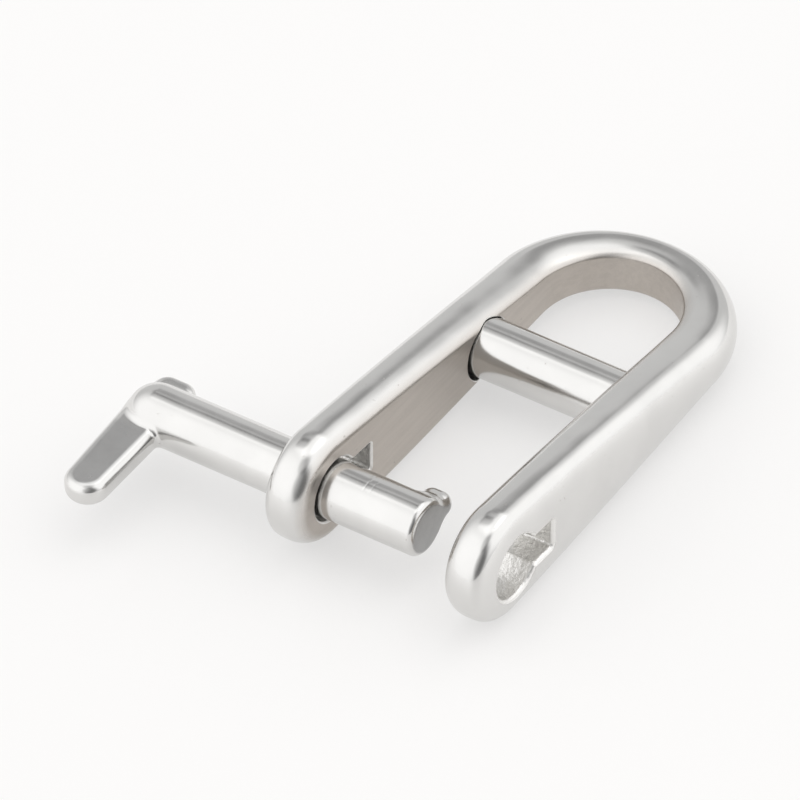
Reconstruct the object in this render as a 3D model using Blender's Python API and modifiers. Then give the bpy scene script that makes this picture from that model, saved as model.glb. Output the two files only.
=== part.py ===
"""A key pin shackle with a cross bar, in polished stainless steel.

The shackle lies on its side, with its key pin drawn part-way out of one ear. Inside this file
X runs along the key pin, Y along the legs towards the bow and Z across the flat of the bow, and
the key pin's axis is the line y = 0, z = 0. An empty then lays the finished shackle down on z = 0.
"""

import math

import bmesh
import bpy

MM = 0.001

# Shackle body: the gap between the legs, and the legs themselves
EAR_INNER_HALF_WIDTH = 6.55 * MM
BOW_INNER_HALF_WIDTH = 6.05 * MM
OUTER_HALF_WIDTH = 10.65 * MM
LEG_LENGTH = 29.0 * MM  # from the key pin's axis to the centre of the bow
EAR_REACH = 5.2 * MM  # from the key pin's axis to the end of an ear
EAR_HEIGHT = 9.95 * MM
BOW_START_HEIGHT = 4.8 * MM  # where the leg's taper would end at the centre of the bow
CROWN_HEIGHT = 4.45 * MM
CROWN_THICKNESS = 3.5 * MM
LEG_BELLY = 0.4 * MM  # how much taller the middle of a leg is than a straight taper
BOW_INNER_DEPTH = 6.57 * MM  # from the centre of the bow to its inner face at the crown
TAPER_BLEND_LENGTH = 8.5 * MM  # over which the taper runs out into the bow's even height
TAPER_BLEND_IN_LEG = 0.4  # share of that length which lies in the leg

# D-shaped section: rounding beside the flat inner face, and the convex outer side
EAR_INNER_ROUND_WIDTH = 1.8 * MM
EAR_INNER_ROUND_HEIGHT = 1.3 * MM
BOW_INNER_ROUND_WIDTH = 2.6 * MM
BOW_INNER_ROUND_HEIGHT = 0.8 * MM
SHOULDER_WIDTH = 0.1 * MM  # flat strip between the two roundings
EAR_SQUARENESS = 3.4  # exponent of the outer curve: 2 is an ellipse, more is squarer
BOW_SQUARENESS = 2.1

# Key pin
PIN_DIAMETER = 4.9 * MM
PIN_HOLE_CLEARANCE = 0.3 * MM
PIN_TIP_ROUND = 0.45 * MM
PIN_BACK_DOME = 2.6 * MM  # length of the rounded end behind the lever
PIN_BACK_INSET = 0.25 * MM  # of that end behind the lever's edge
PIN_SEAT_GAP = 0.12 * MM  # between an ear's outer side and what bears on it
PIN_DRAWN_OUT = 11.15 * MM  # how far the pin stands from its closed place
LOBE_LENGTH = 2.55 * MM
LOBE_WIDTH = 2.2 * MM
LOBE_REACH = 4.05 * MM
LOBE_ROUND = 0.35 * MM
SLOT_SIDE_CLEARANCE = 0.25 * MM
SLOT_END_CLEARANCE = 0.95 * MM

# Lever of the key pin
LEVER_REACH = 11.1 * MM
LEVER_HUB_WIDTH = 4.3 * MM
LEVER_TIP_WIDTH = 3.75 * MM
LEVER_STUB_REACH = 4.0 * MM
LEVER_STUB_WIDTH = 3.8 * MM
LEVER_TOP = 0.65 * MM  # of its top face above the pin's axis
LEVER_THICKNESS = 2.2 * MM
LEVER_ROUND = 0.45 * MM
LEVER_DROOP = math.radians(3)

# Cross bar
BAR_DIAMETER = 5.1 * MM
BAR_DISTANCE = 21.3 * MM  # between the axes of the key pin and the cross bar
BAR_SOCKET_CLEARANCE = 0.33 * MM
BAR_SOCKET_DEPTH = 2.0 * MM
BAR_END_GAP = 0.3 * MM
BAR_CHAMFER = 0.2 * MM

# Fineness of the meshes
EAR_STEPS = 12
LEG_STEPS = 10
BOW_STEPS = 14
ROUND_STEPS = 6
OUTER_STEPS = 13
FLAT_STEPS = 2
TURNED_STEPS = 48
ARC_STEP = math.radians(7.5)
MERGE = 0.001 * MM
SHARP_ANGLE = math.radians(35)
CUT_MARGIN = 1.0 * MM

ALONG_X = (math.radians(90), 0, math.radians(90))  # turns local x, y, z to world Y, Z, X


def clear_scene():
    for obj in list(bpy.data.objects):
        bpy.data.objects.remove(obj)


def new_collection(name):
    collection = bpy.data.collections.new(name)
    bpy.context.scene.collection.children.link(collection)
    return collection


def steel(name, color, roughness):
    material = bpy.data.materials.new(name)
    material.use_nodes = True
    shader = material.node_tree.nodes["Principled BSDF"]
    shader.inputs["Base Color"].default_value = (*color, 1)
    shader.inputs["Metallic"].default_value = 1
    shader.inputs["Roughness"].default_value = roughness
    return material


def add_object(name, mesh, collection):
    obj = bpy.data.objects.new(name, mesh)
    collection.objects.link(obj)
    return obj


def add_cutter(obj):
    """A shape that only cuts or joins another one."""
    obj.hide_render = True
    obj.display_type = "WIRE"
    return obj


def evaluated_mesh(obj):
    bpy.context.view_layer.update()
    graph = bpy.context.evaluated_depsgraph_get()
    return bpy.data.meshes.new_from_object(obj.evaluated_get(graph))


def boolean(obj, other, operation):
    modifier = obj.modifiers.new(f"{operation.lower()} {other.name}", "BOOLEAN")
    modifier.operation = operation
    modifier.solver = "EXACT"
    modifier.object = other


def finish(obj, material):
    """Keep the evaluated shape as the object's own mesh, smooth where it is round."""
    mesh = evaluated_mesh(obj)
    obj.modifiers.clear()
    obj.data = mesh
    mesh.materials.clear()
    mesh.materials.append(material)
    mesh.shade_smooth()
    mesh.set_sharp_from_angle(angle=SHARP_ANGLE)


def arc(centre, radius, start, end):
    """Points of an arc about a centre, both ends included. An odd number of steps keeps them off
    the arc's middle, where the body's own edges run."""
    steps = 2 * round(abs(end - start) / ARC_STEP / 2) + 1
    angles = [start + (end - start) * i / steps for i in range(steps + 1)]
    return [(centre[0] + radius * math.cos(a), centre[1] + radius * math.sin(a)) for a in angles]


def plate(name, outline, half_thickness, collection, rounding=0.0):
    """An outline in local x and y, extruded both ways along local z."""
    curve = bpy.data.curves.new(name, "CURVE")
    curve.dimensions = "2D"
    curve.fill_mode = "BOTH"
    curve.extrude = half_thickness
    spline = curve.splines.new("POLY")
    spline.points.add(len(outline) - 1)
    for point, (x, y) in zip(spline.points, outline):
        point.co = (x, y, 0, 1)
    spline.use_cyclic_u = True
    guide = add_object(f"{name} outline", curve, collection)
    mesh = evaluated_mesh(guide)
    bpy.data.objects.remove(guide)
    soup = bmesh.new()
    soup.from_mesh(mesh)
    bmesh.ops.remove_doubles(soup, verts=soup.verts, dist=MERGE)
    bmesh.ops.dissolve_limit(
        soup, angle_limit=math.radians(1), verts=soup.verts, edges=soup.edges
    )
    bmesh.ops.recalc_face_normals(soup, faces=soup.faces)
    soup.to_mesh(mesh)
    soup.free()
    obj = add_object(name, mesh, collection)
    if rounding:
        bevel = obj.modifiers.new("rounded edges", "BEVEL")
        bevel.width = rounding
        bevel.segments = 3
        bevel.limit_method = "ANGLE"
        bevel.angle_limit = math.radians(50)
    return obj


def turned(name, profile, collection):
    """A profile of (radius, height) from top to bottom, turned about local z."""
    mesh = bpy.data.meshes.new(name)
    points = [(radius, 0, height) for radius, height in profile]
    edges = [(i, i + 1) for i in range(len(points) - 1)]
    mesh.from_pydata(points, edges, [])
    obj = add_object(name, mesh, collection)
    screw = obj.modifiers.new("turn", "SCREW")
    screw.steps = TURNED_STEPS
    screw.render_steps = TURNED_STEPS
    screw.use_merge_vertices = True
    screw.merge_threshold = MERGE
    screw.use_smooth_shade = True
    return obj


def blend(start, end, share):
    return start + (end - start) * share


def taper(share):
    """Height of the leg, and its slope, at a share of the leg's length, before the bow's blend."""
    height = blend(EAR_HEIGHT, BOW_START_HEIGHT, share) + 4 * LEG_BELLY * share * (1 - share)
    slope = BOW_START_HEIGHT - EAR_HEIGHT + 4 * LEG_BELLY * (1 - 2 * share)
    return height, slope


def body_height(share):
    """Height at a share of the leg's length, where more than 1 is round the bow."""
    blend_length = TAPER_BLEND_LENGTH / LEG_LENGTH
    start = 1 - blend_length * TAPER_BLEND_IN_LEG
    if share <= start:
        return taper(share)[0]
    height, slope = taper(start)
    t = min(1, (share - start) / blend_length)
    eased = t * t * (3 - 2 * t)
    return blend(height, CROWN_HEIGHT, eased) + slope * blend_length * t * (1 - t) ** 2


def inner_half_width(y):
    return blend(EAR_INNER_HALF_WIDTH, BOW_INNER_HALF_WIDTH, y / LEG_LENGTH)


def leg_section(share):
    """Half of the leg's D-section at a share of its length: (x, z) from the middle of the flat
    inner face, over the top, to the middle of the convex outer side."""
    inner = inner_half_width(LEG_LENGTH * share)
    half_height = body_height(share) / 2
    round_width = blend(EAR_INNER_ROUND_WIDTH, BOW_INNER_ROUND_WIDTH, share)
    round_height = blend(EAR_INNER_ROUND_HEIGHT, BOW_INNER_ROUND_HEIGHT, share)
    squareness = blend(EAR_SQUARENESS, BOW_SQUARENESS, share)
    flat = half_height - round_height
    points = [(inner, flat * i / FLAT_STEPS) for i in range(FLAT_STEPS)]
    for i in range(ROUND_STEPS + 1):
        angle = math.pi / 2 * i / ROUND_STEPS
        x = inner + round_width * (1 - math.cos(angle))
        points.append((x, flat + round_height * math.sin(angle)))
    outer_start = inner + round_width + SHOULDER_WIDTH
    for i in range(OUTER_STEPS + 1):
        angle = math.pi / 2 * i / OUTER_STEPS
        bulge = math.sin(angle) ** (2 / squareness)
        rise = max(0.0, math.cos(angle)) ** (2 / squareness) if i < OUTER_STEPS else 0.0
        points.append((blend(outer_start, OUTER_HALF_WIDTH, bulge), half_height * rise))
    return points


def closed_ring(upper, place):
    """Both halves of a section as one ring. place(x, z, side) gives each point's position."""
    ring = [place(x, z, 1) for x, z in upper]
    ring += [place(x, z, -1) for x, z in upper[-2:0:-1]]
    return ring


def body_rings():
    """Rings of the right half of the body, from the end of its ear round to the crown."""
    rings = []
    ear = leg_section(0)
    stretch = EAR_REACH / (EAR_HEIGHT / 2)
    for i in range(EAR_STEPS):
        angle = math.pi / 2 * (1 - i / EAR_STEPS)
        back = -stretch * math.sin(angle) if i else -stretch
        across = math.cos(angle) if i else 0.0
        rings.append(closed_ring(ear, lambda x, z, side: (x, z * back, side * z * across)))
    for i in range(LEG_STEPS):
        share = i / LEG_STEPS
        y = LEG_LENGTH * share
        rings.append(closed_ring(leg_section(share), lambda x, z, side: (x, y, side * z)))
    bow = leg_section(1)
    leg_thickness = OUTER_HALF_WIDTH - BOW_INNER_HALF_WIDTH
    bow_radius = BOW_INNER_HALF_WIDTH + leg_thickness / 2
    for i in range(BOW_STEPS + 1):
        angle = math.pi / 2 * i / BOW_STEPS
        thicken = blend(1, CROWN_THICKNESS / leg_thickness, math.sin(angle) ** 2)
        heighten = body_height(1 + angle * bow_radius / LEG_LENGTH) / body_height(1)
        across = math.cos(angle) if i < BOW_STEPS else 0.0

        def place(x, z, side):
            depth = (x - BOW_INNER_HALF_WIDTH) * thicken
            out = (BOW_INNER_HALF_WIDTH + depth) * across
            along = LEG_LENGTH + (BOW_INNER_DEPTH + depth) * math.sin(angle)
            return out, along, side * z * heighten

        rings.append(closed_ring(bow, place))
    return rings


def loft(name, rings, collection):
    """A skin over rings of equal point counts, open at the last ring."""
    count = len(rings[0])
    points = [point for ring in rings for point in ring]
    faces = []
    for row in range(len(rings) - 1):
        for i in range(count):
            j = (i + 1) % count
            lower, upper = row * count, (row + 1) * count
            faces.append((lower + i, lower + j, upper + j, upper + i))
    mesh = bpy.data.meshes.new(name)
    mesh.from_pydata(points, [], faces)
    skin = bmesh.new()
    skin.from_mesh(mesh)
    bmesh.ops.remove_doubles(skin, verts=skin.verts, dist=MERGE)
    bmesh.ops.recalc_face_normals(skin, faces=skin.faces)
    skin.to_mesh(mesh)
    skin.free()
    return add_object(name, mesh, collection)


def keyhole_outline():
    """Round hole for the pin and the slot that lets its lobe through, which points to the bow."""
    radius = PIN_DIAMETER / 2 + PIN_HOLE_CLEARANCE
    half_slot = LOBE_WIDTH / 2 + SLOT_SIDE_CLEARANCE
    slot_end = LOBE_REACH + SLOT_END_CLEARANCE
    meet = math.asin(half_slot / radius)
    return [(slot_end, -half_slot), (slot_end, half_slot)] + arc(
        (0, 0), radius, meet, 2 * math.pi - meet
    )


def make_body(parts, cutters, material):
    body = loft("shackle_body", body_rings(), parts)
    mirror = body.modifiers.new("other half", "MIRROR")
    mirror.use_axis = (True, False, False)
    mirror.merge_threshold = MERGE

    through = OUTER_HALF_WIDTH + CUT_MARGIN
    keyhole = add_cutter(plate("keyhole", keyhole_outline(), through, cutters))
    keyhole.rotation_euler = ALONG_X
    boolean(body, keyhole, "DIFFERENCE")

    bpy.ops.mesh.primitive_cylinder_add(
        vertices=TURNED_STEPS,
        radius=BAR_DIAMETER / 2 + BAR_SOCKET_CLEARANCE,
        depth=2 * (inner_half_width(BAR_DISTANCE) + BAR_SOCKET_DEPTH),
        location=(0, BAR_DISTANCE, 0),
        rotation=ALONG_X,
    )
    socket = add_cutter(bpy.context.object)
    socket.name = "bar sockets"
    bpy.context.collection.objects.unlink(socket)
    cutters.objects.link(socket)
    boolean(body, socket, "DIFFERENCE")
    finish(body, material)
    return body


def make_cross_bar(parts, material):
    radius = BAR_DIAMETER / 2
    half_length = inner_half_width(BAR_DISTANCE) + BAR_SOCKET_DEPTH - BAR_END_GAP
    profile = [
        (0, half_length),
        (radius - BAR_CHAMFER, half_length),
        (radius, half_length - BAR_CHAMFER),
        (radius, BAR_CHAMFER - half_length),
        (radius - BAR_CHAMFER, -half_length),
        (0, -half_length),
    ]
    bar = turned("cross_bar", profile, parts)
    bar.location = (0, BAR_DISTANCE, 0)
    bar.rotation_euler = ALONG_X
    finish(bar, material)
    return bar


def lever_outline():
    """The lever from above: straight on the ear's side, x = 0, and widest at the pin behind."""
    tip_radius = LEVER_TIP_WIDTH / 2
    stub_radius = LEVER_STUB_WIDTH / 2
    tip = arc((-tip_radius, tip_radius - LEVER_REACH), tip_radius, -math.pi, 0)
    stub = arc((-stub_radius, LEVER_STUB_REACH - stub_radius), stub_radius, 0, math.pi)
    return tip + stub + [(-LEVER_HUB_WIDTH, 0)]


def lobe_outline():
    radius = LOBE_WIDTH / 2
    tip = arc((LOBE_REACH - radius, 0), radius, -math.pi / 2, math.pi / 2)
    return [(0, -radius)] + tip + [(0, radius)]


def make_key_pin(parts, cutters, material):
    """The pin in its closed place, then drawn out along its axis."""
    radius = PIN_DIAMETER / 2
    bearing = OUTER_HALF_WIDTH + PIN_SEAT_GAP
    tip_end = bearing + LOBE_LENGTH
    back_end = -bearing - LEVER_HUB_WIDTH + PIN_BACK_INSET
    front = arc(
        (radius - PIN_TIP_ROUND, tip_end - PIN_TIP_ROUND), PIN_TIP_ROUND, math.pi / 2, 0
    )
    dome = arc((0, 0), 1, 0, -math.pi / 2)[:-1]
    back = [(radius * r, back_end + PIN_BACK_DOME * (1 + z)) for r, z in dome]
    pin = turned("key_pin", [(0, tip_end)] + front + back + [(0, back_end)], parts)
    pin.rotation_euler = ALONG_X

    lever = add_cutter(
        plate("lever", lever_outline(), LEVER_THICKNESS / 2, cutters, LEVER_ROUND)
    )
    lever.location = (-bearing, 0, LEVER_TOP - LEVER_THICKNESS / 2)
    lever.rotation_euler.x = LEVER_DROOP
    boolean(pin, lever, "UNION")

    lobe = add_cutter(plate("key lobe", lobe_outline(), LOBE_LENGTH / 2, cutters, LOBE_ROUND))
    lobe.location.x = tip_end - LOBE_LENGTH / 2
    lobe.rotation_euler = ALONG_X
    boolean(pin, lobe, "UNION")

    finish(pin, material)
    pin.location.x = -PIN_DRAWN_OUT
    return pin


def lay_down(pieces):
    """Tip the shackle so that its ears and its crown both touch z = 0, under the middle of it."""
    rest = bpy.data.objects.new("rest_pose", None)
    bpy.context.scene.collection.objects.link(rest)
    crown_y = LEG_LENGTH + BOW_INNER_DEPTH + CROWN_THICKNESS / 2
    drop = (EAR_HEIGHT - CROWN_HEIGHT) / 2
    rest.rotation_euler.x = -math.asin(drop / crown_y)
    for piece in pieces:
        piece.parent = rest
    bpy.context.view_layer.update()
    corners = [piece.matrix_world @ v.co for piece in pieces for v in piece.data.vertices]
    low = [min(corner[axis] for corner in corners) for axis in range(3)]
    high = [max(corner[axis] for corner in corners) for axis in range(3)]
    rest.location = (-(low[0] + high[0]) / 2, -(low[1] + high[1]) / 2, -low[2])
    return rest


def main():
    clear_scene()
    parts = new_collection("key_pin_shackle")
    cutters = new_collection("cutters")
    polished = steel("polished stainless", (0.78, 0.77, 0.75), 0.08)
    bar_steel = steel("bar stainless", (0.78, 0.77, 0.75), 0.1)
    pin_steel = steel("pin stainless", (0.76, 0.75, 0.73), 0.1)
    lay_down(
        [
            make_body(parts, cutters, polished),
            make_cross_bar(parts, bar_steel),
            make_key_pin(parts, cutters, pin_steel),
        ]
    )


main()
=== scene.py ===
"""Looks of the key pin shackle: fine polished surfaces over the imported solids, and a studio."""

import math

import bmesh
import bpy
import numpy as np
from mathutils import Matrix, Vector
from mathutils.bvhtree import BVHTree


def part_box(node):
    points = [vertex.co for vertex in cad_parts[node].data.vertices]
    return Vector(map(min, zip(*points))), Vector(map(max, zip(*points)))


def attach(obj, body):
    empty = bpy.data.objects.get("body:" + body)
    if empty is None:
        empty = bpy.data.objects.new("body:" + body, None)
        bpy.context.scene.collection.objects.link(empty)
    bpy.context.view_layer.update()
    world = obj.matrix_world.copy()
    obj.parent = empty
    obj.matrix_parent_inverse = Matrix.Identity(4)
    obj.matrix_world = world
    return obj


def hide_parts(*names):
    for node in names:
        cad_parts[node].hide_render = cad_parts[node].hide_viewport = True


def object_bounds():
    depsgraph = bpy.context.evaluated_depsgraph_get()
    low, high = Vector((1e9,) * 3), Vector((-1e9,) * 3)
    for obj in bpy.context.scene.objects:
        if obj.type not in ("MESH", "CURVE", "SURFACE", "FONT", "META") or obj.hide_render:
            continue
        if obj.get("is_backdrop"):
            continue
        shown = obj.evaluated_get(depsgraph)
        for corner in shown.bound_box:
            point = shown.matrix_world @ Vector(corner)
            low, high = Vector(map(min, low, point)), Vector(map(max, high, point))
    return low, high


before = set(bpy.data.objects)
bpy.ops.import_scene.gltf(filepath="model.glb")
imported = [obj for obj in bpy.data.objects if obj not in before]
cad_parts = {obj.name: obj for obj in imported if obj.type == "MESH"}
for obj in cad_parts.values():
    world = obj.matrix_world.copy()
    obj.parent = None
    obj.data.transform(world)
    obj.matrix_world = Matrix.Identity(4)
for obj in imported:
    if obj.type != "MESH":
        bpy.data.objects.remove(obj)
cad_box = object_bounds()

MM = 0.001

# The sizes are in millimetres, in the frame of the key pin's axis: X along the pin, Y along the
# legs towards the bow. Most are the solids' own.

# Body: half-widths and lengths
EAR_INNER = 6.55
BOW_INNER = 6.05
OUTER = 10.65
LEG_LENGTH = 29.0
EAR_REACH = 5.2
BOW_DEPTH = 6.57
CROWN_THICKNESS = 3.5

# Body: heights, the belly of the taper, and where the taper runs out into the bow
EAR_HEIGHT = 9.95
BOW_START_HEIGHT = 4.8
CROWN_HEIGHT = 4.45
LEG_BELLY = 0.4
TAPER_BLEND = 8.5
TAPER_IN_LEG = 0.4

# Body: its section's inner rounding (width and height), and how square its outer side is
EAR_ROUND = (1.8, 1.3)
BOW_ROUND = (2.6, 0.8)
SHOULDER = 0.1
EAR_SQUARENESS = 3.4
BOW_SQUARENESS = 2.1

# Keyholes, and the rims of all holes
HOLE_RADIUS = 2.75
SLOT_HALF = 1.35
SLOT_END = 5.0
SLOT_CORNER = 0.25
SLOT_JOIN = 0.5
INNER_RIM = 0.25
OUTER_RIM = 0.4
RIM_SWEEP = math.radians(78)
RIM_LIFT = 0.8

# Cross bar and its sockets, which lie a little to one side of it
BAR_Y = 21.3
BAR_RADIUS = 2.55
BAR_ROUND = 0.25
BAR_GAP = 0.3
BAR_FACE = 1.2
SOCKET_RADIUS = 2.75
SOCKET_DEPTH = 2.0
SOCKET_RIM = 0.1
SOCKET_FLOOR_ROUND = 0.25
SOCKET_SHIFT = (-0.11, -0.09)
SOCKET_AT = (BAR_Y + SOCKET_SHIFT[0], SOCKET_SHIFT[1])

# Key pin, drawn out as in the photograph
DRAWN = 11.15
BEARING_GAP = 0.12
BEARING = OUTER + BEARING_GAP
PIN_RADIUS = 2.45
TIP_ROUND = 0.58

# Key lobe, beside the pin's tip
LOBE_LENGTH = 2.55
LOBE_RADIUS = 1.1
LOBE_REACH = 4.05
LOBE_ROUND = 0.95
LOBE_JOIN = 1.1
LOBE_ROUND_FROM = 1.7
LOBE_ROUND_FADE = 1.2
TIP_X = BEARING + LOBE_LENGTH - DRAWN

# Lever: an arm of two radii from the hub to its tip, and a stub behind the hub
LEVER_X = -BEARING - DRAWN
LEVER_TOP = 0.65
LEVER_THICK = 2.2
LEVER_DROOP = math.radians(3)
LEVER_ROUND = 0.85
LEVER_JOIN = 0.5
HUB_RADIUS = 2.15
ARM_RADIUS = 1.875
ARM_REACH = 11.1
STUB_WIDTH = 3.8
STUB_REACH = 4.0
STUB_INTO_HUB = 2.0
STUB_CORNER = 1.35
STUB_JOIN = 0.6

# The domed back of the pin's shaft, a little inside the hub
BACK_INSET = 0.25
BACK_DOME = 2.6
BACK_X = LEVER_X - 2 * HUB_RADIUS + BACK_INSET

# Faint worn rings on the shaft: place, depth and half-width
WEAR_RINGS = ((-3.2, 0.008, 0.08), (-2.6, 0.004, 0.07))

# How finely the surfaces are sampled
FLAT_POINTS, ROUND_POINTS, BELLY_POINTS = 60, 160, 900
SECTION_POINTS, EAR_ROWS, LEG_ROWS, BOW_ROWS = 64, 44, 100, 70
BAR_SIDES, SOCKET_SIDES = 128, 160
PIN_CELL = 0.1

# How the shackle lies: tipped about X so that its ears and crown touch the floor
TILT = -math.asin((EAR_HEIGHT - CROWN_HEIGHT) / 2 / (LEG_LENGTH + BOW_DEPTH + CROWN_THICKNESS / 2))


def rest_matrix():
    """From the pin axis frame to the part's frame, by the middle of the cross bar's own box."""
    low, high = (Vector(corner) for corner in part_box("cross_bar"))
    turn = Matrix.Rotation(TILT, 4, "X")
    return Matrix.Translation((low + high) / 2 - turn @ Vector((0, BAR_Y * MM, 0))) @ turn


REST = rest_matrix()


def lerp(a, b, t):
    return a + (b - a) * t


# The shackle body's section and its loft


def taper(s):
    """The leg's height and its slope at a share of its length."""
    height = lerp(EAR_HEIGHT, BOW_START_HEIGHT, s) + 4 * LEG_BELLY * s * (1 - s)
    return height, BOW_START_HEIGHT - EAR_HEIGHT + 4 * LEG_BELLY * (1 - 2 * s)


def body_height(s):
    span = TAPER_BLEND / LEG_LENGTH
    start = 1 - span * TAPER_IN_LEG
    if s <= start:
        return taper(s)[0]
    height, slope = taper(start)
    t = min(1.0, (s - start) / span)
    return lerp(height, CROWN_HEIGHT, t * t * (3 - 2 * t)) + slope * span * t * (1 - t) ** 2


def section_sizes(s):
    """Inner face, half height, the inner rounding's width and height, and the squareness."""
    inner = lerp(EAR_INNER, BOW_INNER, s)
    width = lerp(EAR_ROUND[0], BOW_ROUND[0], s)
    height = lerp(EAR_ROUND[1], BOW_ROUND[1], s)
    return inner, body_height(s) / 2, width, height, lerp(EAR_SQUARENESS, BOW_SQUARENESS, s)


def dense_section(s):
    """Half of the D-section as a fine polyline, and how satin each point of it is."""
    inner, half, width, height, k = section_sizes(s)
    flat = half - height
    start = inner + width + SHOULDER
    t = np.linspace(0, 1, FLAT_POINTS)
    a = np.linspace(0, math.pi / 2, ROUND_POINTS)
    b = np.linspace(0, math.pi / 2, BELLY_POINTS)[1:]
    belly_x = start + (OUTER - start) * np.sin(b) ** (2 / k)
    belly_z = half * np.maximum(np.cos(b), 0) ** (2 / k)
    x = [np.full(FLAT_POINTS, inner), inner + width * (1 - np.cos(a)), [start], belly_x]
    z = [flat * t, flat + height * np.sin(a), [half], belly_z]
    satin_fade = 0.9
    fading = np.clip(1 - a / satin_fade, 0, 1)
    satin = np.concatenate([np.ones(FLAT_POINTS), fading, [0], np.zeros(len(b))])
    points = np.stack([np.concatenate(x), np.concatenate(z)], 1)
    points[-1, 1] = 0
    keep = np.concatenate([[True], np.hypot(*np.diff(points, axis=0).T) > 1e-7])
    return points[keep], satin[keep]


def section(s):
    """The section resampled by a mix of its length and its turning, finer where it bends."""
    points, satin = dense_section(s)
    step = np.diff(points, axis=0)
    length = np.hypot(step[:, 0], step[:, 1])
    angle = np.unwrap(np.arctan2(step[:, 1], step[:, 0]))
    turn = np.abs(np.diff(angle, prepend=angle[0]))
    turn_share, largest_turn = 0.9, 0.5
    measure = length / length.sum() + turn_share * np.minimum(turn, largest_turn) / math.pi
    along = np.concatenate([[0], np.cumsum(measure)])
    at = np.linspace(0, along[-1], SECTION_POINTS)
    out = [np.interp(at, along, values) for values in (points[:, 0], points[:, 1], satin)]
    return np.stack(out, 1)


def ring(upper, place):
    """A whole ring of points, and their satin shares, from the upper half of a section."""
    top = np.array([place(x, z) for x, z, _ in upper])
    low = top[-2:0:-1] * (1, 1, -1)
    return np.concatenate([top, low]), np.concatenate([upper[:, 2], upper[-2:0:-1, 2]])


def ear_rings():
    first = section(0)
    stretch = EAR_REACH / (EAR_HEIGHT / 2)
    rings = []
    for i in range(EAR_ROWS):
        a = math.pi / 2 * (1 - i / EAR_ROWS)
        c, s = (math.cos(a), math.sin(a)) if i else (0.0, 1.0)
        rings.append(ring(first, lambda x, z: (x, -z * stretch * s, z * c)))
    return rings


def leg_rings():
    rings = []
    for i in range(LEG_ROWS):
        share = i / LEG_ROWS
        rings.append(ring(section(share), lambda x, z: (x, LEG_LENGTH * share, z)))
    return rings


def bow_rings():
    last = section(1)
    thick = OUTER - BOW_INNER
    rings = []
    for i in range(BOW_ROWS + 1):
        a = math.pi / 2 * i / BOW_ROWS
        c, s = (math.cos(a), math.sin(a)) if i < BOW_ROWS else (0.0, 1.0)
        widen = lerp(1, CROWN_THICKNESS / thick, s * s)
        heighten = body_height(1 + a * (BOW_INNER + thick / 2) / LEG_LENGTH) / body_height(1)

        def place(x, z):
            depth = (x - BOW_INNER) * widen
            return (BOW_INNER + depth) * c, LEG_LENGTH + (BOW_DEPTH + depth) * s, z * heighten

        rings.append(ring(last, place))
    return rings


# Meshes


def mesh_from(name, points, faces):
    mesh = bpy.data.meshes.new(name)
    mesh.from_pydata([tuple(p) for p in points], [], faces)
    return mesh


def cleaned(mesh, distance):
    """The mesh with its doubles merged and its faces turned outwards."""
    soup = bmesh.new()
    soup.from_mesh(mesh)
    bmesh.ops.remove_doubles(soup, verts=soup.verts, dist=distance)
    bmesh.ops.recalc_face_normals(soup, faces=soup.faces)
    soup.to_mesh(mesh)
    soup.free()
    return mesh


def set_weights(mesh, name, values):
    """A number for each point of the mesh, in an attribute that its material reads."""
    old = mesh.attributes.get(name)
    if old:
        mesh.attributes.remove(old)
    weights = mesh.attributes.new(name, "FLOAT", "POINT")
    weights.data.foreach_set("value", np.asarray(values, np.float32))


def linked(name, data):
    obj = bpy.data.objects.new(name, data)
    bpy.context.scene.collection.objects.link(obj)
    return obj


def evaluated_mesh(obj):
    bpy.context.view_layer.update()
    graph = bpy.context.evaluated_depsgraph_get()
    return bpy.data.meshes.new_from_object(obj.evaluated_get(graph))


def placed(name, mesh):
    """The finished piece, with its mesh moved from the pin axis frame to the part's frame."""
    mesh.name = name
    mesh.transform(REST @ Matrix.Scale(MM, 4))
    return linked(name, mesh)


def uncut_body():
    """Both halves of the body, without its holes."""
    rings = ear_rings() + leg_rings() + bow_rings()
    count = len(rings[0][0])
    points = np.concatenate([points for points, _ in rings])
    satin = np.concatenate([satin for _, satin in rings])
    faces = []
    for row in range(len(rings) - 1):
        near, far = row * count, (row + 1) * count
        for i in range(count):
            j = (i + 1) % count
            faces.append((near + i, near + j, far + j, far + i))
    total = len(points)
    other = [tuple(total + v for v in reversed(face)) for face in faces]
    mesh = mesh_from("uncut", np.concatenate([points, points * (-1, 1, 1)]), faces + other)
    set_weights(mesh, "satin", np.concatenate([satin, satin]))
    return cleaned(mesh, 1e-5)


# Keyholes and sockets


def outer_x(y, z):
    """The ear's and leg's outer surface above a point of the plane between the legs."""
    stretch = EAR_REACH / (EAR_HEIGHT / 2)
    inner, half, width, _, k = section_sizes(max(0.0, y / LEG_LENGTH))
    start = inner + width + SHOULDER
    rise = math.hypot(y / stretch, z) if y < 0 else abs(z)
    return start + (OUTER - start) * max(0.0, 1 - (rise / half) ** k) ** (1 / k)


def inner_x(y):
    """The leg's flat inner face."""
    return lerp(EAR_INNER, BOW_INNER, max(0.0, y / LEG_LENGTH))


def inner_surface(y, z):
    """The leg's inner face with the rounding beside it."""
    inner, half, width, height, _ = section_sizes(max(0.0, y / LEG_LENGTH))
    rise = min(1.0, max(0.0, abs(z) - half + height) / height)
    return inner + width * (1 - math.sqrt(1 - rise * rise))


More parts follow.
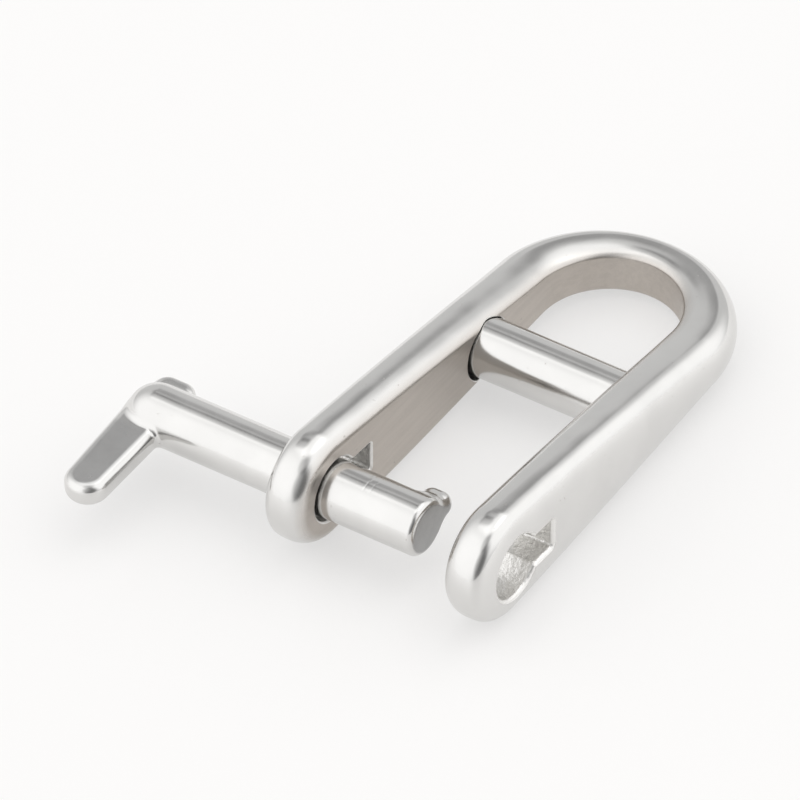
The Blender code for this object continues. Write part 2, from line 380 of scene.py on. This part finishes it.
def corner_arc(before, corner, after, radius, steps=9):
    """The points of a fillet at one corner of a polyline, or the corner itself."""
    p, q, r = (np.array(point) for point in (before, corner, after))
    if radius == 0:
        return [q]
    u, v = (p - q) / np.linalg.norm(p - q), (r - q) / np.linalg.norm(r - q)
    half = math.acos(np.clip(u @ v, -1, 1)) / 2
    reach = radius / math.tan(half)
    centre = q + (u + v) / np.linalg.norm(u + v) * radius / math.sin(half)
    a, b = q + u * reach - centre, q + v * reach - centre
    turn = math.atan2(a[0] * b[1] - a[1] * b[0], a @ b)
    points = []
    for t in np.linspace(0, 1, steps):
        c, s = math.cos(turn * t), math.sin(turn * t)
        points.append(centre + (a[0] * c - a[1] * s, a[0] * s + a[1] * c))
    return points


def fillet_polyline(corners, radii, step=0.06):
    """A closed polyline with its corners rounded, then sampled evenly: points and normals."""
    path = []
    for i, (corner, radius) in enumerate(zip(corners, radii)):
        path += corner_arc(corners[i - 1], corner, corners[(i + 1) % len(corners)], radius)
    path = np.array(path + [path[0]])
    length = np.concatenate([[0], np.cumsum(np.hypot(*np.diff(path, axis=0).T))])
    at = np.linspace(0, length[-1], int(length[-1] / step), endpoint=False)
    points = np.stack([np.interp(at, length, path[:, axis]) for axis in (0, 1)], 1)
    tangent = np.roll(points, -1, 0) - np.roll(points, 1, 0)
    tangent /= np.linalg.norm(tangent, axis=1)[:, None]
    return points, np.stack([tangent[:, 1], -tangent[:, 0]], 1)


def keyhole_outline(arc_points=90, clear=0.14):
    """The round hole and its slot. The arc stops a small angle short of the slot's fillets."""
    meet = math.asin(SLOT_HALF / HOLE_RADIUS)
    angles = np.linspace(meet + clear, 2 * math.pi - meet - clear, arc_points)
    circle = [(HOLE_RADIUS * math.cos(a), HOLE_RADIUS * math.sin(a)) for a in angles]
    join = HOLE_RADIUS * math.cos(meet)
    corners = [(SLOT_END, -SLOT_HALF), (SLOT_END, SLOT_HALF), (join, SLOT_HALF), *circle]
    corners.append((join, -SLOT_HALF))
    radii = [SLOT_CORNER, SLOT_CORNER, SLOT_JOIN] + [0] * arc_points + [SLOT_JOIN]
    return fillet_polyline(corners, radii)


def tube(rows):
    """Points and faces of a closed loft through rows of equal counts, capped at both ends."""
    count = len(rows[0])
    faces = []
    for row in range(len(rows) - 1):
        near, far = row * count, (row + 1) * count
        for i in range(count):
            j = (i + 1) % count
            faces.append((near + i, far + i, far + j, near + j))
    faces.append(tuple(range(count)))
    faces.append(tuple(reversed(range((len(rows) - 1) * count, len(rows) * count))))
    return np.concatenate(rows), faces


def rim_rows(points, normals, surface, outward, radius, steps=9):
    """Rows of a rounded rim, from the wall of a hole to just above its face."""
    rows = []
    for b in np.linspace(0, RIM_SWEEP, steps):
        at = points + normals * radius * (1 - math.cos(b))
        depth = radius * (1 - math.sin(b))
        rows.append(np.array([(surface(y, z) - outward * depth, y, z) for y, z in at]))
    at = rows[-1][:, 1:]
    rows.append(np.array([(surface(y, z) + outward * RIM_LIFT, y, z) for y, z in at]))
    return rows


def keyhole_cutter():
    points, normals = keyhole_outline()
    inside = rim_rows(points, normals, inner_surface, -1, INNER_RIM)
    outside = rim_rows(points, normals, outer_x, 1, OUTER_RIM)
    return tube(inside[::-1] + outside)


def socket_cutter():
    a = np.linspace(0, 2 * math.pi, SOCKET_SIDES, endpoint=False)
    circle = np.stack([np.cos(a), np.sin(a)], 1)
    mouth = rim_rows(circle * SOCKET_RADIUS + SOCKET_AT, circle, inner_surface, -1, SOCKET_RIM)
    floor = inner_x(BAR_Y) + SOCKET_DEPTH
    bottom = []
    for b in np.linspace(0, math.pi / 2, 6):
        x = floor - SOCKET_FLOOR_ROUND * (1 - math.sin(b))
        at = circle * (SOCKET_RADIUS - SOCKET_FLOOR_ROUND * (1 - math.cos(b))) + SOCKET_AT
        bottom.append(np.array([(x, y, z) for y, z in at]))
    return tube(mouth[::-1] + bottom)


def cutters():
    """The keyholes and sockets of both legs, as one mesh."""
    all_points, all_faces, base = [], [], 0
    for points, faces in (keyhole_cutter(), socket_cutter()):
        for side in (1, -1):
            all_points.append(points * (side, 1, 1))
            for face in faces:
                face = face if side > 0 else tuple(reversed(face))
                all_faces.append(tuple(base + v for v in face))
            base += len(points)
    mesh = mesh_from("cutters", np.concatenate(all_points), all_faces)
    return cleaned(mesh, 1e-6)


# The shackle body's finished surface


def surface_lookup(mesh):
    """A lookup of a fine mesh's smooth normals and satin weights by place."""
    points = [v.co.copy() for v in mesh.vertices]
    mesh.calc_loop_triangles()
    triangles = [tuple(t.vertices) for t in mesh.loop_triangles]
    normals = [v.normal.copy() for v in mesh.vertices]
    weights = mesh.attributes.get("satin")
    satin = [w.value for w in weights.data] if weights else [0.0] * len(points)
    tree = BVHTree.FromPolygons(points, triangles)

    def look(place):
        hit, _, index, _ = tree.find_nearest(place)
        i, j, k = triangles[index]
        a, b, c = points[i], points[j], points[k]
        whole = (b - a).cross(c - a)
        area = max(whole.length_squared, 1e-18)
        u = (c - b).cross(hit - b).dot(whole) / area
        v = (a - c).cross(hit - c).dot(whole) / area
        w = 1 - u - v
        normal = (normals[i] * u + normals[j] * v + normals[k] * w).normalized()
        return normal, satin[i] * u + satin[j] * v + satin[k] * w

    return look


def cut_body(whole, tool):
    """The body with its holes cut, where the cut walls keep the tool's material name."""
    for mesh, material in ((whole, "skin"), (tool, "wall")):
        mesh.materials.append(bpy.data.materials.new(material))
    body_obj, tool_obj = linked("uncut", whole), linked("cutters", tool)
    cut = body_obj.modifiers.new("holes", "BOOLEAN")
    cut.operation, cut.solver, cut.object = "DIFFERENCE", "EXACT", tool_obj
    cut.material_mode = "TRANSFER"
    mesh = evaluated_mesh(body_obj)
    for obj in (body_obj, tool_obj):
        bpy.data.objects.remove(obj)
    return mesh


def make_body():
    """The polished body. Its normals come from the uncut surfaces, so the cuts leave no dents."""
    whole, tool = uncut_body(), cutters()
    mesh = cut_body(whole, tool)
    skin, wall = surface_lookup(whole), surface_lookup(tool)
    names = [m.name if m else "" for m in mesh.materials]
    skin_at, wall_at = {}, {}
    loop_normals = [None] * len(mesh.loops)
    for polygon in mesh.polygons:
        hole = names[polygon.material_index] == "wall"
        cache, look = (wall_at, wall) if hole else (skin_at, skin)
        for loop in polygon.loop_indices:
            v = mesh.loops[loop].vertex_index
            if v not in cache:
                cache[v] = look(mesh.vertices[v].co)
            normal = cache[v][0]
            loop_normals[loop] = -normal if hole else normal
    wall_satin = 0.35
    vertices = range(len(mesh.vertices))
    set_weights(mesh, "satin", [skin_at[v][1] if v in skin_at else wall_satin for v in vertices])
    set_weights(mesh, "wall", [0.0 if v in skin_at else 1.0 for v in vertices])
    mesh.polygons.foreach_set("material_index", [0] * len(mesh.polygons))
    mesh.materials.clear()
    mesh.shade_smooth()
    mesh.normals_split_custom_set(loop_normals)
    return placed("shackle_body_polished", mesh)


# The cross bar


def make_bar():
    half = inner_x(BAR_Y) + SOCKET_DEPTH - BAR_GAP
    end = [(half, BAR_FACE)]
    for b in np.linspace(math.pi / 2, 0, 7):
        x = half - BAR_ROUND + BAR_ROUND * math.sin(b)
        end.append((x, BAR_RADIUS - BAR_ROUND + BAR_ROUND * math.cos(b)))
    middle = np.linspace(half - BAR_ROUND, BAR_ROUND - half, 60)[1:-1]
    profile = end + [(x, BAR_RADIUS) for x in middle] + [(-x, r) for x, r in reversed(end)]
    a = np.linspace(0, 2 * math.pi, BAR_SIDES, endpoint=False)
    rows = []
    for x, r in profile:
        rows.append(np.stack([np.full(BAR_SIDES, x), BAR_Y + r * np.cos(a), r * np.sin(a)], 1))
    points, faces = tube(rows)
    mesh = cleaned(mesh_from("bar", points, faces), 1e-6)
    mesh.shade_smooth()
    mesh.set_sharp_from_angle(angle=math.radians(50))
    set_weights(mesh, "satin", [1.0 if abs(v.co.x) > half - 0.02 else 0.0 for v in mesh.vertices])
    return placed("cross_bar_polished", mesh)


# The key pin, as a distance field


def rounded_extrude(outline, across, half, radius):
    """Distance to a 2D shape extruded across its plane, with rounded edges."""
    w0, w1 = outline + radius, np.abs(across) - half + radius
    outside = np.hypot(np.maximum(w0, 0), np.maximum(w1, 0))
    return np.minimum(np.maximum(w0, w1), 0) + outside - radius


def uneven_capsule(p, a, b, ra, rb):
    """Distance in 2D to the hull of two circles."""
    axis = np.subtract(b, a)
    h = np.linalg.norm(axis)
    axis = axis / h
    q = p - a
    y = q @ axis
    x = np.abs(q[:, 0] * axis[1] - q[:, 1] * axis[0])
    slope = (ra - rb) / h
    c = math.sqrt(1 - slope * slope)
    k = -slope * x + c * y
    side = c * x + slope * y - ra
    return np.where(k < 0, np.hypot(x, y) - ra, np.where(k > c * h, np.hypot(x, y - h) - rb, side))


def rounded_box(p, middle, half, radius):
    """Distance in 2D to a box with rounded corners."""
    w = np.abs(p - middle) - (half - radius)
    return np.hypot(*np.maximum(w, 0).T) + np.minimum(w.max(1), 0) - radius


def smooth_min(a, b, k):
    """The smaller of two distances, with a fillet of about k where they meet."""
    h = np.maximum(k - np.abs(a - b), 0) / k
    return np.minimum(a, b) - h * h * k / 4


def lever_distance(p):
    c, s = math.cos(LEVER_DROOP), math.sin(LEVER_DROOP)
    z0 = p[:, 2] - (LEVER_TOP - LEVER_THICK / 2)
    y, z = p[:, 1] * c + z0 * s, -p[:, 1] * s + z0 * c
    q = np.stack([p[:, 0] - LEVER_X, y], 1)
    hub = np.array((-HUB_RADIUS, 0.0))
    tip = np.array((-ARM_RADIUS, ARM_RADIUS - ARM_REACH))
    arm = uneven_capsule(q, hub, tip, HUB_RADIUS, ARM_RADIUS)
    middle = np.array((-STUB_WIDTH, STUB_REACH - STUB_INTO_HUB)) / 2
    half = np.array((STUB_WIDTH, STUB_REACH + STUB_INTO_HUB)) / 2
    stub = rounded_box(q, middle, half, STUB_CORNER)
    return rounded_extrude(smooth_min(arm, stub, STUB_JOIN), z, LEVER_THICK / 2, LEVER_ROUND)


def shaft_distance(p):
    """The round shaft with its worn rings, and the dome at its back."""
    x, rho = p[:, 0], np.hypot(p[:, 1], p[:, 2])
    middle, half = (TIP_X + BACK_X) / 2, (TIP_X - BACK_X) / 2
    wear = sum(depth * np.exp(-(((x - at) / width) ** 2)) for at, depth, width in WEAR_RINGS)
    front = rounded_extrude(rho - PIN_RADIUS + wear, x - middle, half, TIP_ROUND)
    x0 = BACK_X + BACK_DOME
    u, v = (x - x0) / BACK_DOME, rho / PIN_RADIUS
    g = np.sqrt(u * u + v * v)
    slope = np.sqrt((u / BACK_DOME) ** 2 + (v / PIN_RADIUS) ** 2) / np.maximum(g, 1e-6)
    dome = (g - 1) / np.maximum(slope, 1e-6)
    return np.where(x < x0, dome, front)


def tip_distance(p):
    """The pin's last stretch with the key lobe, whose edges are rounder than the pin's own."""
    start, end = np.array((0.0, 0.0)), np.array((LOBE_REACH - LOBE_RADIUS, 0.0))
    lobe = uneven_capsule(p[:, 1:], start, end, LOBE_RADIUS, LOBE_RADIUS)
    outline = smooth_min(np.hypot(p[:, 1], p[:, 2]) - PIN_RADIUS, lobe, LOBE_JOIN)
    on_lobe = np.clip((p[:, 1] - LOBE_ROUND_FROM) / LOBE_ROUND_FADE, 0, 1)
    rounding = TIP_ROUND + (LOBE_ROUND - TIP_ROUND) * on_lobe
    return rounded_extrude(outline, p[:, 0] - TIP_X + LOBE_LENGTH / 2, LOBE_LENGTH / 2, rounding)


def pin_distance(p):
    return smooth_min(np.minimum(shaft_distance(p), tip_distance(p)), lever_distance(p), LEVER_JOIN)


def gradient(field, p, e=1e-3):
    g = np.stack([field(p + d) - field(p - d) for d in np.eye(3) * e], 1) / (2 * e)
    return g / np.maximum(np.linalg.norm(g, axis=1), 1e-9)[:, None]


def pin_net():
    """An even net of small faces around the solid pin, in the pin axis frame."""
    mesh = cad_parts["key_pin"].data.copy()
    mesh.transform((REST @ Matrix.Scale(MM, 4)).inverted())
    obj = linked("pin net", mesh)
    net = obj.modifiers.new("net", "REMESH")
    net.mode, net.voxel_size, net.adaptivity = "VOXEL", PIN_CELL, 0
    mesh = evaluated_mesh(obj)
    bpy.data.objects.remove(obj)
    return mesh


def pin_satin(p, normals):
    """How satin the pin is: its cut end, and the lever's flat faces away from the shaft."""
    end = np.clip((normals[:, 0] - 0.9) / 0.08, 0, 1) * (p[:, 0] > TIP_X - 0.08)
    plate = np.clip((0.12 - np.abs(lever_distance(p))) / 0.1, 0, 1)
    plate *= np.clip((np.hypot(p[:, 1], p[:, 2]) - PIN_RADIUS - 0.3) / 0.4, 0, 1)
    face = plate * np.clip((np.abs(normals[:, 2]) - 0.8) / 0.18, 0, 1)
    face_satin = 0.45
    return np.maximum(end, face_satin * face)


def make_pin():
    """The key pin's surface: the net pulled onto one smooth distance field."""
    mesh = pin_net()
    p = np.empty(len(mesh.vertices) * 3)
    mesh.vertices.foreach_get("co", p)
    p = p.reshape(-1, 3)
    largest_step = 0.15
    for _ in range(6):
        pull = np.clip(pin_distance(p), -largest_step, largest_step)
        p = p - gradient(pin_distance, p) * pull[:, None]
    normals = gradient(pin_distance, p)
    mesh.vertices.foreach_set("co", p.ravel())
    set_weights(mesh, "satin", pin_satin(p, normals))
    mesh.shade_smooth()
    mesh.normals_split_custom_set_from_vertices([tuple(n) for n in normals])
    mesh.materials.clear()
    return placed("key_pin_polished", mesh)


# Materials

POLISHED = (0.7, 0.693, 0.68)
SATIN = (0.54, 0.498, 0.456)
CUT = (0.42, 0.42, 0.418)
HOLE_WALL = (0.82, 0.81, 0.79)
SPECK = (0.42, 0.4, 0.37)


class Nodes:
    """A few short hands for building a node tree."""

    def __init__(self, tree):
        self.tree = tree
        tree.nodes.clear()

    def add(self, kind, **values):
        node = self.tree.nodes.new(kind)
        for name, value in values.items():
            setattr(node, name, value)
        return node

    def link(self, output, target):
        self.tree.links.new(output, target)

    def math(self, operation, *values, clamp=False):
        node = self.add("ShaderNodeMath", operation=operation, use_clamp=clamp)
        for socket, value in zip(node.inputs, values):
            if isinstance(value, (int, float)):
                socket.default_value = value
            else:
                self.link(value, socket)
        return node.outputs[0]

    def ranged(self, value, low, high, to_low=0.0, to_high=1.0):
        node = self.add("ShaderNodeMapRange", interpolation_type="SMOOTHSTEP")
        self.link(value, node.inputs["Value"])
        node.inputs["From Min"].default_value = low
        node.inputs["From Max"].default_value = high
        node.inputs["To Min"].default_value = to_low
        node.inputs["To Max"].default_value = to_high
        return node.outputs["Result"]

    def noise(self, vector, scale, detail=3.0, roughness=0.5):
        node = self.add("ShaderNodeTexNoise")
        self.link(vector, node.inputs["Vector"])
        node.inputs["Scale"].default_value = scale
        node.inputs["Detail"].default_value = detail
        node.inputs["Roughness"].default_value = roughness
        return node.outputs["Fac"]

    def long_noise(self, vector, scale, along):
        """Noise drawn out along the axes where along is small."""
        node = self.add("ShaderNodeMapping")
        self.link(vector, node.inputs["Vector"])
        node.inputs["Scale"].default_value = tuple(scale * share for share in along)
        return self.noise(node.outputs["Vector"], 1.0, 3.0, 0.6)

    def colours(self, factor, low, high):
        node = self.add("ShaderNodeMix", data_type="RGBA")
        self.link(factor, node.inputs["Factor"])
        for socket, colour in ((node.inputs[6], low), (node.inputs[7], high)):
            if isinstance(colour, tuple):
                socket.default_value = (*colour, 1)
            else:
                self.link(colour, socket)
        return node.outputs[2]

    def bump(self, height, strength, distance, normal=None):
        node = self.add("ShaderNodeBump")
        node.inputs["Distance"].default_value = distance
        self.link(height, node.inputs["Height"])
        if isinstance(strength, float):
            node.inputs["Strength"].default_value = strength
        else:
            self.link(strength, node.inputs["Strength"])
        if normal:
            self.link(normal, node.inputs["Normal"])
        return node.outputs[0]


def dimmed(colour, share):
    return tuple(share * c for c in colour)


def steel(name, satin, rough_polished, rough_satin, along, wave=0.05, tooth=0.1):
    """Polished stainless that turns satin where the piece's surface says so.

    satin is the satin faces' colour, and along is the stretch of the fine buffing lines in X,
    Y and Z, where small is long. wave and tooth are the depths of its waves and its grain."""
    material = bpy.data.materials.new(name)
    material.use_nodes = True
    n = Nodes(material.node_tree)
    out = n.add("ShaderNodeOutputMaterial")
    shader = n.add("ShaderNodeBsdfPrincipled")
    n.link(shader.outputs[0], out.inputs[0])
    place = n.add("ShaderNodeTexCoord").outputs["Object"]
    weight = n.add("ShaderNodeAttribute", attribute_name="satin").outputs["Fac"]
    wall = n.add("ShaderNodeAttribute", attribute_name="wall").outputs["Fac"]

    clouds = n.noise(place, 260.0, 4.0)
    grain = n.noise(place, 9000.0, 3.0, 0.6)
    lines = n.long_noise(place, 14000.0, along)
    streaks = n.long_noise(place, 2200.0, along)
    specks = n.ranged(n.noise(place, 2600.0, 2.0), 0.72, 0.78)

    bright = n.colours(n.ranged(clouds, 0.35, 0.65), dimmed(POLISHED, 0.96), POLISHED)
    mottle = n.math("ADD", n.math("MULTIPLY", grain, 0.4), n.math("MULTIPLY", streaks, 0.6))
    dull = n.colours(n.ranged(mottle, 0.36, 0.64), dimmed(satin, 0.92), satin)
    colour = n.colours(weight, bright, dull)
    colour = n.colours(wall, colour, HOLE_WALL)
    speck_share = n.math("MULTIPLY", specks, n.math("MULTIPLY_ADD", weight, 0.3, 0.5))
    n.link(n.colours(speck_share, colour, SPECK), shader.inputs["Base Color"])
    shader.inputs["Metallic"].default_value = 1.0

    rough = n.math("MULTIPLY_ADD", weight, rough_satin - rough_polished, rough_polished)
    rough = n.math("ADD", rough, n.math("MULTIPLY", wall, 0.12))
    rough = n.math("ADD", rough, n.ranged(clouds, 0.3, 0.7, -0.012, 0.03))
    rough = n.math("ADD", rough, n.ranged(lines, 0.35, 0.7, 0.0, 0.03))
    rough = n.math("ADD", rough, n.math("MULTIPLY", specks, 0.15), clamp=True)
    n.link(rough, shader.inputs["Roughness"])

    waves = n.bump(n.noise(place, 190.0, 1.0), wave, 0.0012)
    pit_strength = n.math("MULTIPLY", wall, 0.7)
    pits = n.bump(n.noise(place, 2300.0, 3.0, 0.6), pit_strength, 0.00012, waves)
    tooth_strength = n.math("MULTIPLY_ADD", weight, tooth, 0.02)
    fine = n.bump(n.math("ADD", grain, lines), tooth_strength, 0.00004, pits)
    n.link(fine, shader.inputs["Normal"])
    return material


# The camera, fitted to the photograph in the pin axis frame

AZIMUTH, ELEVATION, ROLL = math.radians(33.724), math.radians(39.702), math.radians(-0.06)
DISTANCE = 842.737
TARGET = Vector((-8.395, 11.934, 0))
FOCAL_PIXELS = 10629.977
PHOTO_PIXELS = 800
SENSOR = 36


def make_camera():
    ca, sa, ce, se = math.cos(AZIMUTH), math.sin(AZIMUTH), math.cos(ELEVATION), math.sin(ELEVATION)
    ahead = Vector((-sa * ce, ca * ce, -se))
    level = Vector((ca, sa, 0))
    upright = level.cross(ahead)
    right = level * math.cos(ROLL) + upright * math.sin(ROLL)
    up = upright * math.cos(ROLL) - level * math.sin(ROLL)
    place = (TARGET - ahead * DISTANCE) * MM
    matrix = Matrix((
        (right.x, up.x, -ahead.x, place.x),
        (right.y, up.y, -ahead.y, place.y),
        (right.z, up.z, -ahead.z, place.z),
        (0, 0, 0, 1),
    ))
    lens = bpy.data.cameras.new("camera")
    lens.sensor_width = SENSOR
    lens.lens = SENSOR * FOCAL_PIXELS / PHOTO_PIXELS
    lens.clip_start, lens.clip_end = 0.05, 20
    camera = linked("camera", lens)
    camera.matrix_world = REST @ matrix
    bpy.context.scene.camera = camera


# The studio's tent, and soft panes of it that are lighter or darker: azimuth, elevation and
# half-width in degrees, the share of the width that is even, and the change of light

TENT = 0.74
PANES = (
    (237, 33, 72, 0.25, 0.65),
    (34, 36, 53, 0.5, 0.62),
    (105, 68, 34, 0.5, 0.54),
    (314, 26, 38, 0.5, -0.53),
    (308, 67, 22, 0.5, -0.36),
    (115, 37, 11, 0.2, -0.37),
    (130, 48, 13, 0.2, -0.52),
    (146, 58, 13, 0.2, -0.66),
)

FLOOR_HALF = 0.6
FLOOR_DROP = 0.0002
FLOOR_COLOUR = (0.42, 0.412, 0.404)
FLOOR_ROUGHNESS = 0.38
FLOOR_GLOW = 0.5


def make_world():
    """A pale tent, lit from the front left and from the right, and dim about the camera."""
    world = bpy.data.worlds.new("studio")
    bpy.context.scene.world = world
    world.use_nodes = True
    n = Nodes(world.node_tree)
    out = n.add("ShaderNodeOutputWorld")
    light = n.add("ShaderNodeBackground")
    direction = n.add("ShaderNodeTexCoord").outputs["Generated"]
    level = TENT
    for azimuth, elevation, width, even, change in PANES:
        a, e, w = (math.radians(value) for value in (azimuth, elevation, width))
        towards = (math.cos(e) * math.cos(a), math.cos(e) * math.sin(a), math.sin(e))
        dot = n.add("ShaderNodeVectorMath", operation="DOT_PRODUCT")
        n.link(direction, dot.inputs[0])
        dot.inputs[1].default_value = towards
        pane = n.ranged(dot.outputs["Value"], math.cos(w), math.cos(w * even))
        level = n.math("ADD", n.math("MULTIPLY", pane, change), level)
    n.link(level, light.inputs["Strength"])
    light.inputs["Color"].default_value = (1, 1, 1, 1)
    n.link(light.outputs[0], out.inputs[0])


def floor_material():
    """A pale floor that keeps its shadows, with a glow that makes it white to look at."""
    material = bpy.data.materials.new("floor")
    material.use_nodes = True
    n = Nodes(material.node_tree)
    out = n.add("ShaderNodeOutputMaterial")
    paint = n.add("ShaderNodeBsdfPrincipled")
    paint.inputs["Base Color"].default_value = (*FLOOR_COLOUR, 1)
    paint.inputs["Roughness"].default_value = FLOOR_ROUGHNESS
    glow = n.add("ShaderNodeEmission")
    glow.inputs["Color"].default_value = (1, 1, 1, 1)
    path = n.add("ShaderNodeLightPath")
    seen = n.math("ADD", path.outputs["Is Camera Ray"], path.outputs["Is Transmission Ray"])
    seen = n.math("ADD", seen, path.outputs["Is Glossy Ray"])
    n.link(n.math("MULTIPLY", seen, FLOOR_GLOW), glow.inputs["Strength"])
    both = n.add("ShaderNodeAddShader")
    n.link(paint.outputs[0], both.inputs[0])
    n.link(glow.outputs[0], both.inputs[1])
    n.link(both.outputs[0], out.inputs[0])
    return material


def make_floor():
    h = FLOOR_HALF
    mesh = mesh_from("floor", [(-h, -h, 0), (h, -h, 0), (h, h, 0), (-h, h, 0)], [(0, 1, 2, 3)])
    mesh.materials.append(floor_material())
    floor = linked("floor", mesh)
    floor.location.z = cad_box[0][2] - FLOOR_DROP
    floor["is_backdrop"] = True


make_camera()
make_world()
make_floor()

body = make_body()
body.data.materials.append(steel("body steel", SATIN, 0.125, 0.36, (1, 0.06, 1), wave=0.08))
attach(body, "body")
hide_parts("shackle_body")

bar = make_bar()
bar.data.materials.append(steel("bar steel", CUT, 0.14, 0.35, (0.08, 1, 1), tooth=0.03))
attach(bar, "cross_bar")
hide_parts("cross_bar")

pin = make_pin()
pin.data.materials.append(steel("pin steel", CUT, 0.14, 0.3, (0.5, 0.5, 0.5), tooth=0.02))
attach(pin, "key_pin")
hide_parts("key_pin")

bpy.context.scene.view_settings.view_transform = "Standard"

plain = {"cad": cad_box, "visual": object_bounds()}
{key: [list(corner) for corner in box] for key, box in plain.items()}
